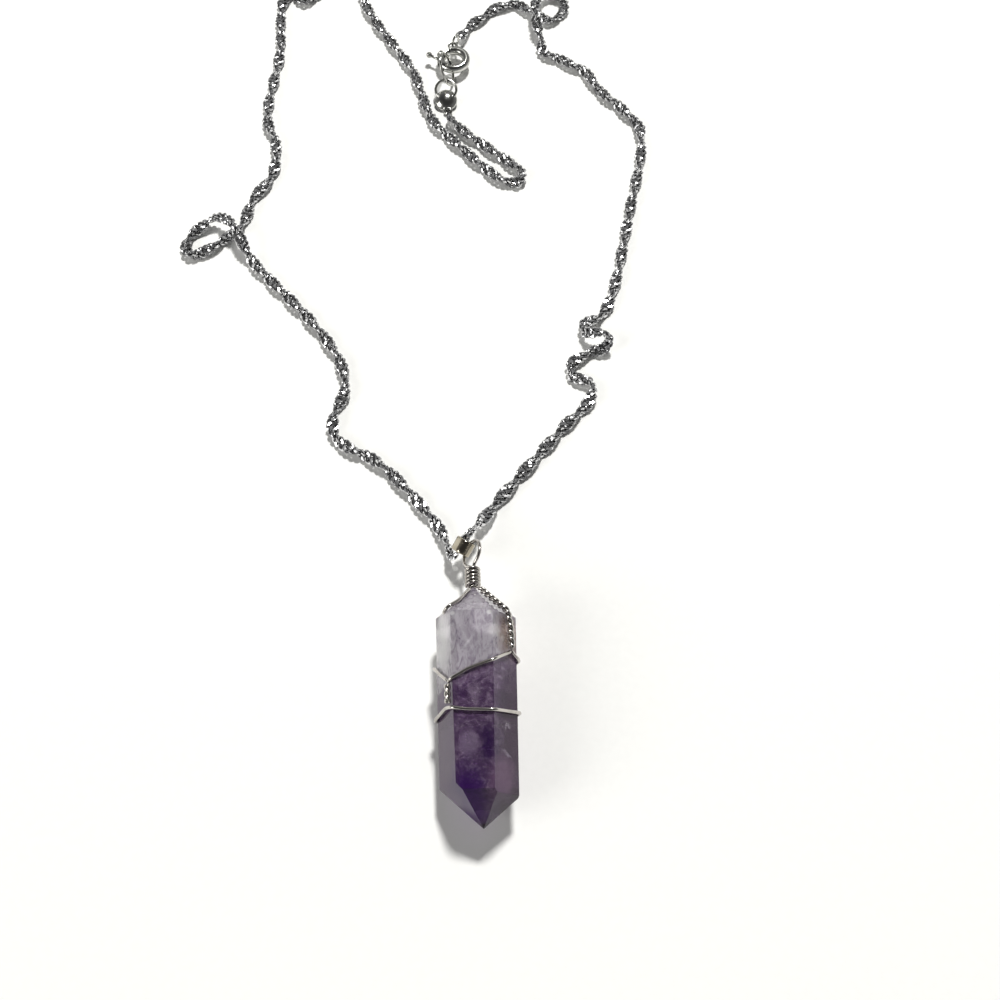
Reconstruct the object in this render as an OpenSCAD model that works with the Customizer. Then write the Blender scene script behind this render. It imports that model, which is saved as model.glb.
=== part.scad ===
/* [Crystal] */
// Corner radius of the six-sided prism
crystal_r = 5.5; // [5.4:0.1:5.5]
// Length from point to point
crystal_length = 32.9; // [32.7:0.1:33]
// Slope of the facets at the lower point, from square across
lower_slope = 45; // [44:1:46]
// Slope of the facets at the upper point, from square across
upper_slope = 46; // [45:1:47]

/* [Wire wrap] */
// Diameter of the silver wire
wire_d = 0.5; // [0.44:0.02:0.5]
// Turns of the coil round the neck
coil_turns = 5; // [4:1:5]
// Length along the pair of wires for one half turn of their twist
half_twist = 0.95; // [0.9:0.05:1.1]

/* [Bail] */
// Clear width inside the bail
bail_w = 2.1; // [2:0.05:2.2]
// Clear height inside the bail
bail_h = 2.9; // [2.8:0.05:3]
// Length of the bail along the chain
bail_length = 2.1; // [1.9:0.1:2.1]
// Thickness of the bail's band
bail_wall = 0.2; // [0.15:0.05:0.2]

/* [Chain] */
// Width of the twisted chain
chain_d = 1.9; // [1.6:0.1:1.9]
// Width of the chain where it is drawn together to pass the bail
narrow_d = 1.3; // [1.2:0.1:1.3]

/* [Clasp] */
// Radius of the spring ring, to the middle of its tube
clasp_r = 2.3; // [2.3:0.05:2.35]
// Diameter of the spring ring's tube
clasp_tube_d = 1.5; // [1.44:0.02:1.5]
// Diameter of the tongue that slides in the tube
tongue_d = 0.8; // [0.7:0.05:0.8]
// Diameter of the lever's knob
knob_d = 1.1; // [1:0.1:1.2]
// Angle that the lever turns to open the clasp
lever_travel = 45; // [40:1:45]
// Wire of the small rings
ring_wire_d = 0.4; // [0.36:0.02:0.4]

/* [Hidden] */

// Smoothness of the round parts, and the free space between pieces
fine = 48;
gap = 0.09;
far = 40;

// The crystal lies nearly along Y with its point down the page; it starts at its lower end
crystal_at = [11.15, -83.2, 4.92];
crystal_turns = [3, 0, 0.85];
crystal_roll = 6;
crystal_sides = 6;
side_step = 360 / crystal_sides;
apothem = crystal_r * cos(side_step / 2);
lower_point = [0.75, 0, 0.1];
upper_point = [-0.45, crystal_length, 0];
// How far each side's facets differ from the rule: [apothem, lower slope, upper slope, taper]
side_moves = [
    [0, 0, 1, 0], [-0.05, 1, -1, 0], [0.15, -2, 0, 1.8], [0.05, 1, 2, 0.5], [0, 0, -1, 0], [-0.04, 2, 1, 0]
];
// Where along the crystal the tapered sides have their full distance
taper_from = 25;

// The neck bends down from the upper point to the eye
neck_turns = [-13.4, 0, 2.5];
eye_reach = 5.72;
eye_r = 2;
eye_roll = -54;
coil_start = 0.1;
coil_pitch = wire_d + 0.1;
coil_r = wire_d * 1.8;
pair_press = 0.9;
leg_spread = 0.3;
leg_start = 0.2;
eye_weld = 0.02;

// The bail hangs from the eye at its upper left
bail_at = [8.65, -43.15, 4];
bail_turns = [21, 0, -32];
bail_roll = 46;

// The clasp lies level, lifted by the rings that pass under it
clasp_at = [5.5, 54, 1.74];
clasp_wall = 0.23;
bore_d = clasp_tube_d - 2 * clasp_wall;
collar_extra = 0.4;
// Angles round the clasp, anticlockwise from +X
mouth_from = 108;
mouth_to = 148;
collar_to = 160;
bore_from = mouth_to - 5;
bore_to = 275;
slot_from = 167;
slot_to = 192 + lever_travel;
tongue_from = 111;
tongue_to = 215;
stem_from = 184;
knob_at = 165;
knob_reach = 4.6;
stem_d = 0.5;
slot_w = stem_d + 0.2;
loop_at = 93;
loop_r = 0.75;

link_at = [5.8, 58.6, 1.74];
link_turns = [0, 90, -27];
link_r = 1.15;

connector_at = [4.42, 50.61, 2.85];
connector_turns = [0, 68, -3];
connector_r = 2.8;
connector_wire_d = 0.45;

end_ring_at = [4.3, 46.74, 1.78];
end_ring_turns = [18, 0, 0];
end_ring_r = 1.85;
tag_reach = 1.9;
tag_r = 2;
tag_bulge_r = 3;
tag_thickness = 1.1;
tag_loop_r = 0.6;
tag_loop_shift = [0.4, 0, 0];

// The way the chain lies: [x, y, height], from the clasp round to the end ring
CHAIN = [
    [6.5, 60, 1.5], [8.5, 63.5, 1], [11, 66, 0.95], [14, 68.5, 0.95], [17, 69, 0.95],
    [20, 67, 0.95], [23, 65, 0.95], [25.5, 66.5, 0.95], [26, 69.5, 0.95], [23.5, 71.5, 1.2],
    [21.5, 69.5, 2.2], [20.5, 66, 3], [20.7, 63, 2.5], [21.5, 60, 1.3], [22, 57, 0.95],
    [26, 54.5, 0.95], [29.5, 52, 0.95], [32, 47.5, 0.95], [36, 43, 0.95], [39, 38, 0.95],
    [38.5, 31.5, 0.95], [36.5, 22, 0.95], [32.5, 3.5, 0.95], [30.5, -1, 0.95],
    [28, -2.5, 0.95], [27.5, -4.5, 1.6], [29, -5.5, 2.7], [30.5, -5.5, 2.8], [31.5, -6.5, 2],
    [30.5, -7.5, 1.1], [28.5, -8, 0.95], [25.3, -10.5, 0.95], [25.5, -12.5, 0.95],
    [28.5, -13.8, 0.95], [28, -17, 0.95], [24.5, -21, 0.95],
    [14, -34, 0.95], [12, -37, 1.6], [10.6, -39.3, 2.8], [9.6, -40.9, 3.7], [8.9, -42, 4],
    [8.4, -42.85, 3.65], [7.85, -43.7, 3.25], [7.4, -44.2, 2.85], [6.9, -44.1, 2.4], [6.7, -43.4, 2.1],
    [6.2, -41.7, 1.5], [5.1, -39.2, 0.95], [3.2, -36.5, 0.95], [-4.5, -28, 0.95],
    [-9, -25.5, 0.95],
    [-11.5, -23.5, 0.95], [-12, -20, 0.95], [-10.5, -15, 0.95], [-11.5, -10, 0.95],
    [-16, -3, 0.95], [-27.5, 10, 1.1], [-29.5, 13.5, 2.6], [-31.5, 16.5, 3],
    [-34, 18, 2], [-37, 16.5, 0.95], [-38.85, 13, 0.95], [-37.5, 11, 0.95], [-34, 13, 0.95],
    [-30, 17, 0.95], [-28.5, 22.5, 0.95], [-25.5, 28.5, 0.95], [-25.5, 35, 0.95],
    [-27.5, 41, 0.95], [-26.5, 57, 0.95], [-27, 64.5, 0.95], [-27, 69.5, 0.95],
    [-25.5, 71.8, 0.95], [-23, 70, 0.95], [-20.5, 72, 0.95], [-22, 76, 0.95], [-20.5, 80.5, 0.95],
    [-16.5, 82.15, 0.95], [-12.5, 80.5, 0.95], [-10.5, 76, 0.95], [-12, 71.5, 0.95],
    [-10, 66, 0.95], [-5, 57.5, 0.95], [-2, 52.5, 0.95], [2, 40.5, 0.95], [6, 35.5, 0.95],
    [14.5, 27, 0.95], [17, 26.5, 0.95], [17.8, 28.7, 0.95], [15.5, 31, 0.95], [7.5, 38, 0.95],
    [5, 40.9, 1.3]
];
chain_sides = 8;
narrow_reach = 3.6;

// Geometry of vectors and frames
function unit(v) = v / norm(v);
function tilted(p, a) = [p.x, p.y * cos(a) - p.z * sin(a), p.y * sin(a) + p.z * cos(a)];
function headed(p, a) = [p.x * cos(a) - p.y * sin(a), p.x * sin(a) + p.y * cos(a), p.z];
function in_crystal(p) = crystal_at + headed(tilted(p, crystal_turns.x), crystal_turns.z);
function spoke(around) = [cos(around), 0, sin(around)];

// The crystal's eighteen faces, each as [a point on it, the side it belongs to, its slope]
function side_angle(k) = crystal_roll + side_step * (k + 0.5);
CRYSTAL_FACES = [for (k = [0:crystal_sides - 1]) let (m = side_moves[k]) each [
    [spoke(side_angle(k)) * (apothem + m[0]) + [0, taper_from, 0], k, -m[3]],
    [lower_point, k, -lower_slope - m[1]],
    [upper_point, k, upper_slope + m[2]]
]];
function outward(face) = spoke(side_angle(face[1])) * cos(face[2]) + [0, sin(face[2]), 0];

// Distance from the crystal's middle line to its surface, and a point lifted off that surface
function skin_r(around, along, lift) = min([
    for (f = CRYSTAL_FACES) let (n = outward(f), facing = n * spoke(around))
    if (facing > 0.05) (n * f[0] + lift - n.y * along) / facing
]);
function on_skin(p, lift) = [0, p[1], 0] + spoke(p[0]) * skin_r(p[0], p[1], lift);

// A short list of [around, along] stretched into steps of about one size
function stretch(rows, steps) = [
    for (i = [0:len(rows) - 2], s = [0:steps[i] - 1]) rows[i] + (rows[i + 1] - rows[i]) * s / steps[i],
    rows[len(rows) - 1]
];
function laid(rows, steps, lift) = [for (p = stretch(rows, steps)) on_skin(p, lift)];
function path_length(path, last) =
    last <= 0 ? 0 : path_length(path, last - 1) + norm(path[last] - path[last - 1]);

// One ring of a swept tube: the section stands square to the path, mitred at its bends
function leg(path, i, closed) = let (n = len(path))
    unit(path[closed ? (i + 1) % n : min(i + 1, n - 1)] - path[closed ? i % n : min(i, n - 2)]);
function ring_at(path, i, section, up, closed) =
    let (
        before = leg(path, closed ? i + len(path) - 1 : max(i - 1, 0), closed),
        after = leg(path, i, closed),
        ahead = unit(before + after),
        side = unit(cross(ahead, up)),
        top = cross(side, ahead),
        bend = norm(after - before) < 0.001 ? [0, 0, 0] : unit(after - before),
        mitre = 1 / max(ahead * after, 0.5) - 1
    )
    [for (q = section) let (o = side * q.x + top * q.y) path[i] + o + bend * (o * bend) * mitre];
function disc(r, sides) = [for (a = [0:360 / sides:359]) r * [sin(a), -cos(a)]];

// Section of two wires pressed together side by side, turned by an angle
function pair_section(turn) = [
    for (s = [1, -1], a = [-75:50:75])
    let (r = wire_d / 2, p = [s * (r * pair_press + r * cos(a)), s * r * sin(a)])
    [p.x * cos(turn) - p.y * sin(turn), p.x * sin(turn) + p.y * cos(turn)]
];

// Joins the rings of a sweep into one solid
module skin_over(rings, closed = false) {
    n = len(rings);
    m = len(rings[0]);
    sides = [
        for (i = [0:n - (closed ? 1 : 2)], j = [0:m - 1])
        let (k = (i + 1) % n, l = (j + 1) % m)
        each [[i * m + j, i * m + l, k * m + l], [i * m + j, k * m + l, k * m + j]]
    ];
    caps = closed ? [] : [[for (j = [m - 1:-1:0]) j], [for (j = [0:m - 1]) (n - 1) * m + j]];
    polyhedron([for (r = rings) each r], concat(sides, caps), convexity = 10);
}

module single_wire(path, closed = false) {
    skin_over([
        for (i = [0:len(path) - 1])
        ring_at(path, i, disc(wire_d / 2, 8), unit([path[i].x, 0, path[i].z]), closed)
    ], closed);
}

module twisted_pair(path) {
    skin_over([
        for (i = [0:len(path) - 1]) ring_at(
            path, i, pair_section(180 * path_length(path, i) / half_twist),
            unit([path[i].x, 0, path[i].z]), false
        )
    ]);
}

module ring(r, wire) {
    rotate_extrude($fn = fine)
        translate([r, 0]) circle(d = wire, $fn = fine);
}

module arc_tube(r, wire, from, to) {
    rotate([0, 0, from]) rotate_extrude(angle = to - from, $fn = fine)
        translate([r, 0]) circle(d = wire, $fn = fine);
}

module in_crystal_frame() {
    translate(crystal_at) rotate(crystal_turns) children();
}

module in_neck_frame() {
    translate(in_crystal(upper_point)) rotate(neck_turns) children();
}

// All that lies behind one of the crystal's faces
module behind(face) {
    translate(face[0]) rotate([0, -side_angle(face[1]), 0]) rotate([0, 0, face[2]])
        translate([-2 * far, -far, -far]) cube(2 * far);
}

module crystal() {
    color("mediumpurple", 0.8) in_crystal_frame()
        intersection_for (face = CRYSTAL_FACES) behind(face);
}

module wire_eye() {
    leg_end = eye_reach - eye_r + eye_weld;
    color("silver") in_neck_frame() rotate([0, eye_roll, 0]) {
        translate([0, eye_reach, 0]) ring(eye_r, wire_d);
        for (s = [-1, 1]) translate([s * leg_spread, leg_start, 0])
            rotate([-90, 0, 0]) cylinder(d = wire_d, h = leg_end - leg_start, $fn = fine);
    }
}

module neck_coil() {
    steps = 16;
    coil_path = [for (i = [0:coil_turns * steps]) let (a = 360 * i / steps)
        [-coil_r * cos(a), coil_start + coil_pitch * i / steps, coil_r * sin(a)]
    ];
    color("silver") in_neck_frame() single_wire(coil_path);
}

// Rows are [angle round the crystal, distance along it]
RIGHT_TWIST = [[60, 32.3], [48, 31.1], [42, 29.8], [36, 28.2], [30, 26.5], [27, 23.5]];
LEFT_STRAND = [[130, 32.2], [127, 31.3], [126, 30.1], [132, 28.9], [142, 28.2]];
UPPER_BAND_FRONT = [[29, 22.8], [54, 21.8], [66, 21.2], [104, 20], [126, 18.8], [131, 18.5]];
UPPER_BAND_LEFT = [[184, 21.3], [164, 20.1], [139, 18.9]];
UPPER_BAND_BACK = [[23, 22.9], [6, 22], [-54, 21.6], [-114, 21.2], [-171, 21.3]];
SIDE_TWIST = [[131, 17.95], [131, 15.8]];
BACK_TWIST = [[-32, 20.9], [-32, 15.8]];
LOWER_BAND = [
    [66, 14.5], [107, 14.7], [124.5, 15], [144, 15.2], [187.5, 14.3], [246.5, 13.8], [306, 14.5],
    [366, 14.9], [426, 14.5]
];

module right_twist() {
    color("silver") in_crystal_frame()
        twisted_pair(laid(RIGHT_TWIST, [7, 7, 8, 8, 12], wire_d + gap));
}

module left_strand() {
    color("silver") in_crystal_frame()
        single_wire(laid(LEFT_STRAND, [3, 3, 4, 3], wire_d / 2 + 2 * gap));
}

module upper_band_front() {
    color("silver") in_crystal_frame()
        single_wire(laid(UPPER_BAND_FRONT, [6, 3, 6, 5, 2], wire_d / 2 + gap));
}

module upper_band_left() {
    color("silver") in_crystal_frame()
        single_wire(laid(UPPER_BAND_LEFT, [4, 4], wire_d / 2 + gap));
}

module upper_band_back() {
    color("silver") in_crystal_frame()
        single_wire(laid(UPPER_BAND_BACK, [5, 9, 10, 10], wire_d / 2 + gap));
}

module side_twist() {
    color("silver") in_crystal_frame()
        twisted_pair(laid(SIDE_TWIST, [14], wire_d + gap));
}

module back_twist() {
    color("silver") in_crystal_frame()
        twisted_pair(laid(BACK_TWIST, [22], wire_d + gap));
}

module lower_band() {
    band = laid(LOWER_BAND, [7, 4, 4, 7, 10, 10, 10, 10], wire_d / 2 + gap);
    color("silver") in_crystal_frame()
        single_wire([for (i = [0:len(band) - 2]) band[i]], closed = true);
}

module bail_outline(grow) {
    w = bail_w + 2 * grow;
    rise = (bail_h - bail_w) / 2;
    for (s = [-1, 1]) translate([0, s * rise]) circle(d = w, $fn = fine);
    square([w, 2 * rise], center = true);
}

module bail() {
    color("silver") translate(bail_at) rotate(bail_turns) rotate([90, bail_roll, 0])
        linear_extrude(bail_length, center = true) difference() {
            bail_outline(bail_wall);
            bail_outline(0);
        }
}

module chain() {
    color("gainsboro") skin_over([
        for (i = [0:len(CHAIN) - 1])
        let (d = norm(CHAIN[i] - bail_at) < narrow_reach ? narrow_d : chain_d)
        ring_at(CHAIN, i, disc(d / 2, chain_sides), [0, 0, 1], false)
    ]);
}

module clasp_body() {
    color("silver") translate(clasp_at) {
        difference() {
            union() {
                arc_tube(clasp_r, clasp_tube_d, (mouth_to + collar_to) / 2, 360 + mouth_from);
                arc_tube(clasp_r, clasp_tube_d + collar_extra, mouth_to, collar_to);
            }
            arc_tube(clasp_r, bore_d, bore_from, bore_to);
            rotate([0, 0, slot_from]) rotate_extrude(angle = slot_to - slot_from, $fn = fine)
                translate([clasp_r, -slot_w / 2]) square([clasp_tube_d, slot_w]);
        }
        rotate([0, 0, loop_at]) translate([clasp_r + clasp_tube_d / 2 + loop_r - ring_wire_d, 0, 0])
            ring(loop_r, ring_wire_d);
    }
}

module clasp_lever() {
    foot = clasp_r * [cos(stem_from), sin(stem_from), 0];
    knob = knob_reach * [cos(knob_at), sin(knob_at), 0];
    stem = knob - foot;
    color("silver") translate(clasp_at) {
        arc_tube(clasp_r, tongue_d, tongue_from, tongue_to);
        translate(foot) rotate([0, 90, atan2(stem.y, stem.x)]) cylinder(d = stem_d, h = norm(stem), $fn = fine);
        translate(knob) sphere(d = knob_d, $fn = fine);
    }
}

module clasp_link() {
    color("silver") translate(link_at) rotate([0, 0, link_turns.z]) rotate([0, link_turns.y, 0])
        ring(link_r, ring_wire_d);
}

module connector_ring() {
    color("silver") translate(connector_at) rotate([0, 0, connector_turns.z])
        rotate([0, connector_turns.y, 0]) ring(connector_r, connector_wire_d);
}

module end_ring() {
    color("silver") translate(end_ring_at) rotate(end_ring_turns) {
        ring(end_ring_r, wire_d);
        translate([0, -tag_reach, 0]) rotate_extrude($fn = fine) intersection() {
            translate([0, tag_thickness / 2 - tag_bulge_r]) circle(tag_bulge_r, $fn = 2 * fine);
            translate([0, -tag_thickness / 2]) square([tag_r, tag_thickness]);
        }
        translate([0, -tag_reach - tag_r - tag_loop_r + ring_wire_d, 0] + tag_loop_shift)
            ring(tag_loop_r, ring_wire_d);
    }
}

crystal();
wire_eye();
neck_coil();
right_twist();
left_strand();
upper_band_front();
upper_band_left();
upper_band_back();
side_twist();
back_twist();
lower_band();
bail();
chain();
clasp_body();
clasp_lever();
clasp_link();
connector_ring();
end_ring();
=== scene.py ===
import bpy
import bmesh
import math
import random
from mathutils import Matrix, Vector, noise


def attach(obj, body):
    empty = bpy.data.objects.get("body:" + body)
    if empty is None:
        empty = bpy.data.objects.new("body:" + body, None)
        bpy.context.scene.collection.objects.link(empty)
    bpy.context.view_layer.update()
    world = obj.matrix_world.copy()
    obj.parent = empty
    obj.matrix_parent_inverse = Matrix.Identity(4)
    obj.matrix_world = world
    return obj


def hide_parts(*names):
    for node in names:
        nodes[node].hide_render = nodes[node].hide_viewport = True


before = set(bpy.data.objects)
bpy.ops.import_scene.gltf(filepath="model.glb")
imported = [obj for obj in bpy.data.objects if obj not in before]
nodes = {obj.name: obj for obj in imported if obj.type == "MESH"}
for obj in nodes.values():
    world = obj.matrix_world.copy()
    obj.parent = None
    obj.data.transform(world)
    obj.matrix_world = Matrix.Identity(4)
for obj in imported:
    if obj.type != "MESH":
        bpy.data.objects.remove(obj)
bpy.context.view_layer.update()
mm = 0.001
merge = 0.001 * mm  # points nearer than this are one


# Placing, in millimetres and degrees, as the source of the part gives it
def turned(turns):
    x, y, z = (math.radians(a) for a in turns)
    return Matrix.Rotation(z, 4, "Z") @ Matrix.Rotation(y, 4, "Y") @ Matrix.Rotation(x, 4, "X")


def placed(at, turns):
    return Matrix.Translation(Vector(at) * mm) @ turned(turns)


def spoke(around):
    return Vector((math.cos(math.radians(around)), 0, math.sin(math.radians(around))))


def newObject(name, data):
    thing = bpy.data.objects.new(name, data)
    bpy.context.scene.collection.objects.link(thing)
    return thing


def addPiece(name, mesh, material, replaced=(), body="root"):
    piece = newObject(name, mesh)
    mesh.materials.clear()
    mesh.materials.append(material)
    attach(piece, body)
    if replaced:
        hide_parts(*replaced)


def meshFrom(name, bm, smooth=True):
    bmesh.ops.recalc_face_normals(bm, faces=bm.faces)
    mesh = bpy.data.meshes.new(name)
    bm.to_mesh(mesh)
    bm.free()
    mesh.polygons.foreach_set("use_smooth", [smooth] * len(mesh.polygons))
    return mesh


# Curves: a smooth line through all the points, cut into even steps
def curveThrough(points, step):
    pts = [Vector(p) for p in points]
    pts = [pts[0] * 2 - pts[1]] + pts + [pts[-1] * 2 - pts[-2]]
    dense = []
    for i in range(1, len(pts) - 2):
        p0, p1, p2, p3 = pts[i - 1:i + 3]
        t1 = (p1 - p0).length ** 0.5
        t2 = t1 + (p2 - p1).length ** 0.5
        t3 = t2 + (p3 - p2).length ** 0.5
        count = max(4, int((p2 - p1).length / step * 2))
        for k in range(count):
            t = t1 + (t2 - t1) * k / count
            a1 = p0 * (t1 - t) / t1 + p1 * t / t1
            a2 = p1 * (t2 - t) / (t2 - t1) + p2 * (t - t1) / (t2 - t1)
            a3 = p2 * (t3 - t) / (t3 - t2) + p3 * (t - t2) / (t3 - t2)
            b1 = a1 * (t2 - t) / t2 + a2 * t / t2
            b2 = a2 * (t3 - t) / (t3 - t1) + a3 * (t - t1) / (t3 - t1)
            dense.append(b1 * (t2 - t) / (t2 - t1) + b2 * (t - t1) / (t2 - t1))
    dense.append(pts[-2])
    return evenly(dense, step)


def evenly(points, step):
    total = sum((b - a).length for a, b in zip(points, points[1:]))
    count = max(2, round(total / step))
    out = [points[0].copy()]
    want, gone, i = total / count, 0.0, 0
    while len(out) < count and i < len(points) - 1:
        span = (points[i + 1] - points[i]).length
        if gone + span >= want * len(out):
            out.append(points[i].lerp(points[i + 1], (want * len(out) - gone) / span))
        else:
            gone += span
            i += 1
    out.append(points[-1].copy())
    return out


def softened(points, passes, closed=False):
    for _ in range(passes):
        n = len(points)
        points = [
            points[i] if not closed and i in (0, n - 1)
            else points[i] * 0.5 + (points[i - 1] + points[(i + 1) % n]) * 0.25
            for i in range(n)
        ]
    return points


def framesAlong(points, up, closed=False):
    n = len(points)
    out = []
    for i, p in enumerate(points):
        a = points[i - 1] if closed or i else points[0]
        b = points[(i + 1) % n] if closed or i < n - 1 else points[-1]
        ahead = (b - a).normalized()
        lift = up(i) if callable(up) else up
        side = ahead.cross(lift).normalized()
        out.append((p, ahead, side, side.cross(ahead)))
    return out


# Faces between neighbouring rings of points
def joinRings(bm, pairs):
    for one, two in pairs:
        count = len(one)
        for k in range(count):
            after = (k + 1) % count
            bm.faces.new((one[k], one[after], two[after], two[k]))


# A round wire along a path. Two rings at each cut end round it off: height and width in radii
endRings = ((0.5, 0.87), (0.85, 0.5))


def sweepWire(bm, path, radius, sides, up, closed=False):
    rings = []
    stations = [(p, a, s, u, radius) for p, a, s, u in framesAlong(path, up, closed)]
    if not closed:
        for end, way in ((0, -1), (-1, 1)):
            p, a, s, u, r = stations[end]
            cap = [(p + a * way * r * h, a, s, u, r * w) for h, w in endRings]
            stations = stations + cap if way > 0 else cap[::-1] + stations
    angles = [2 * math.pi * k / sides for k in range(sides)]
    for p, a, s, u, r in stations:
        ring = [p + (s * math.cos(t) + u * math.sin(t)) * r for t in angles]
        rings.append([bm.verts.new(q) for q in ring])
    joinRings(bm, zip(rings, rings[1:] + rings[:1] if closed else rings[1:]))
    if not closed:
        bm.faces.new(rings[0][::-1])
        bm.faces.new(rings[-1])


# Effects that several finishes share
def nodeGroup(name, inputs, outputs):
    group = bpy.data.node_groups.new(name, "ShaderNodeTree")
    for label, kind, value in inputs:
        socket = group.interface.new_socket(name=label, in_out="INPUT", socket_type=kind)
        if value is not None:
            socket.default_value = value
    for label, kind in outputs:
        group.interface.new_socket(name=label, in_out="OUTPUT", socket_type=kind)
    return group, group.nodes.new("NodeGroupInput"), group.nodes.new("NodeGroupOutput")


# Gives a socket its value, or the link that feeds it
def feed(tree, socket, value):
    if isinstance(value, bpy.types.NodeSocket):
        tree.links.new(value, socket)
    else:
        socket.default_value = value


def put(tree, kind, settings=None, **links):
    node = tree.nodes.new(kind)
    for key, value in (settings or {}).items():
        if key in node.inputs:
            node.inputs[key].default_value = value
        else:
            setattr(node, key, value)
    for key, source in links.items():
        tree.links.new(source, node.inputs[key])
    return node


def mathNode(tree, operation, *terms, clamp=False):
    node = put(tree, "ShaderNodeMath", {"operation": operation, "use_clamp": clamp})
    for socket, term in zip(node.inputs, terms):
        feed(tree, socket, term)
    return node.outputs[0]


def vectorNode(tree, operation, *terms):
    node = put(tree, "ShaderNodeVectorMath", {"operation": operation})
    for socket, term in zip(node.inputs, terms):
        feed(tree, socket, term)
    return node


def mixColour(tree, factor, a, b):
    node = put(tree, "ShaderNodeMix", {"data_type": "RGBA"})
    for place, term in ((0, factor), (6, a), (7, b)):  # the sockets of a colour mix
        feed(tree, node.inputs[place], term)
    return node.outputs[2]


def noiseField(tree, vector, scale, detail=3.0, roughness=0.55, distortion=0.0):
    node = put(tree, "ShaderNodeTexNoise", {"Detail": detail, "Roughness": roughness})
    node.inputs["Distortion"].default_value = distortion
    feed(tree, node.inputs["Vector"], vector)
    feed(tree, node.inputs["Scale"], scale)
    return node.outputs["Fac"]


def remap(tree, value, low, high, toLow=0.0, toHigh=1.0):
    node = put(tree, "ShaderNodeMapRange", {"interpolation_type": "SMOOTHSTEP"})
    for socket, term in zip(node.inputs, (value, low, high, toLow, toHigh)):
        feed(tree, socket, term)
    return node.outputs[0]


def objectPlace(tree):
    return put(tree, "ShaderNodeTexCoord").outputs["Object"]


def newMaterial(name):
    material = bpy.data.materials.new(name)
    material.use_nodes = True
    tree = material.node_tree
    return material, tree, tree.nodes["Principled BSDF"]


# Wear, and painted shade in creases, that all the metals share. A pair gives the limits of noise
# between which a mark fades in
metalWearAndShade = {
    "fine": {"detail": 4.0, "roughness": 0.6},
    "broad": {"scale": 260.0, "detail": 2.0, "roughness": 0.5},
    "tarnish": (0.42, 0.68),
    "speck": (0.5, 0.75),
    "rougher": 0.22,
    "bumpDepth": 0.02,  # millimetres, as is each metal's reach of the painted shade in its creases
    "paintedShadeSamples": 6,
    "paintedHollowShade": (0.3, 0.85),
}


def makeHandledMetal():
    group, come, go = nodeGroup("handledMetal", [
        ("Bright", "NodeSocketColor", (0.8, 0.8, 0.8, 1)),
        ("Dull", "NodeSocketColor", (0.4, 0.4, 0.4, 1)),
        ("Roughness", "NodeSocketFloat", 0.15),
        ("Wear", "NodeSocketFloat", 0.5),
        ("Grain Scale", "NodeSocketFloat", 900.0),
    ], [
        ("Colour", "NodeSocketColor"),
        ("Roughness", "NodeSocketFloat"),
        ("Height", "NodeSocketFloat"),
    ])
    bright, dull, roughness, wear, grain = come.outputs[:5]
    place = objectPlace(group)
    fine = noiseField(group, place, grain, **metalWearAndShade["fine"])
    broad = noiseField(group, place, **metalWearAndShade["broad"])
    tarnish = mathNode(group, "MULTIPLY", remap(group, broad, *metalWearAndShade["tarnish"]), wear)
    speck = mathNode(group, "MULTIPLY", remap(group, fine, *metalWearAndShade["speck"]), wear)
    worn = mathNode(group, "MAXIMUM", tarnish, speck, clamp=True)
    rougher = mathNode(group, "MULTIPLY", worn, metalWearAndShade["rougher"])
    feed(group, go.inputs["Colour"], mixColour(group, worn, bright, dull))
    feed(group, go.inputs["Roughness"], mathNode(group, "ADD", roughness, rougher))
    feed(group, go.inputs["Height"], fine)
    return group


handledMetal = makeHandledMetal()


def silver(name, look):
    material, tree, shader = newMaterial(name)
    shader.inputs["Metallic"].default_value = 1.0
    wear = put(tree, "ShaderNodeGroup", {"node_tree": handledMetal})
    for key in ("Bright", "Dull", "Roughness", "Wear", "Grain Scale"):
        wear.inputs[key].default_value = look[key]
    bump = put(tree, "ShaderNodeBump", {
        "Strength": look["bump"],
        "Distance": metalWearAndShade["bumpDepth"] * mm,
    }, Height=wear.outputs["Height"])
    # Painted shade: ambient occlusion pulls the colour towards a dark shade colour in creases and
    # recesses
    paintedHollowShade = put(tree, "ShaderNodeAmbientOcclusion", {
        "samples": metalWearAndShade["paintedShadeSamples"],
        "Distance": look["reach"] * mm,
    })
    clear = remap(tree, paintedHollowShade.outputs["AO"], *metalWearAndShade["paintedHollowShade"])
    colour = mixColour(tree, clear, look["paintedGrooveShade"], wear.outputs["Colour"])
    feed(tree, shader.inputs["Normal"], bump.outputs["Normal"])
    feed(tree, shader.inputs["Base Color"], colour)
    feed(tree, shader.inputs["Roughness"], wear.outputs["Roughness"])
    return material


wrapSilver = silver("wrapSilver", {
    "Bright": (0.58, 0.55, 0.52, 1),
    "Dull": (0.22, 0.2, 0.175, 1),
    "Roughness": 0.16,
    "Wear": 0.5,
    "Grain Scale": 1500.0,
    "bump": 0.25,
    "reach": 0.5,
    "paintedGrooveShade": (0.05, 0.045, 0.04, 1),
})
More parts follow.
